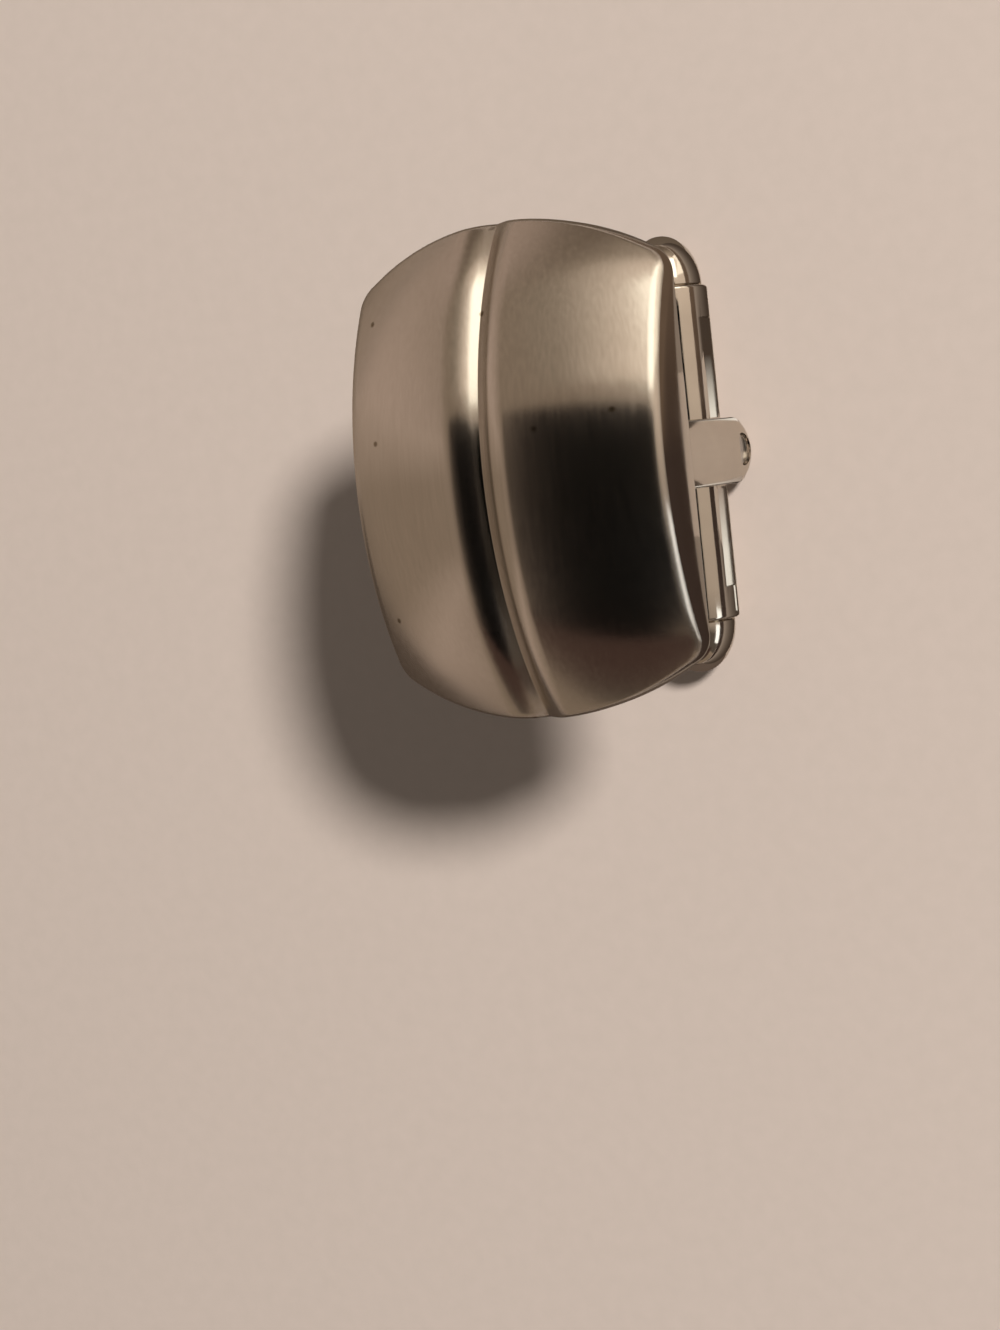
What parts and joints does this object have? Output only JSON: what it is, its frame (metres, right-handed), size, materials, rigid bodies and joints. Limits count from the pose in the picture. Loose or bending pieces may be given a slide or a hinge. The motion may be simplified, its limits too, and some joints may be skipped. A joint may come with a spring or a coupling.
{
  "type": "cufflink",
  "caption": "Bullet-back cufflink: domed satin face with a centre groove, fork-shaped post and a toggle bar that swivels to lock behind the cuff.",
  "frame": {"origin": "on the surface the locked toggle rests on, straight under the middle of the post", "axes": "+Z out of the front of the face, +X across the face along the pivot, +Y along the face and the locked toggle"},
  "size_m": [0.0134, 0.02, 0.0231],
  "materials": {
    "satin_face": "satin, brushed along the face",
    "polished_metal": "mirror polished",
    "inner_steel": "plain drawn steel"
  },
  "bodies": {
    "face_and_post": {"face_shell": "satin_face", "back_plate": "polished_metal", "post_fork": "polished_metal", "pivot_pin": "inner_steel"},
    "toggle": {"toggle_tube": "polished_metal", "end_cap_north": "polished_metal", "end_cap_south": "polished_metal", "detent_spring_upper": "inner_steel", "detent_spring_lower": "inner_steel"}
  },
  "joints": [
    {"name": "toggle_swivel", "type": "hinge", "parent": "face_and_post", "child": "toggle", "pos_m": [0, 0, 0.00195], "axis": [1, 0, 0], "continuous": true, "deforming": ["detent_spring_upper", "detent_spring_lower"]}
  ]
}
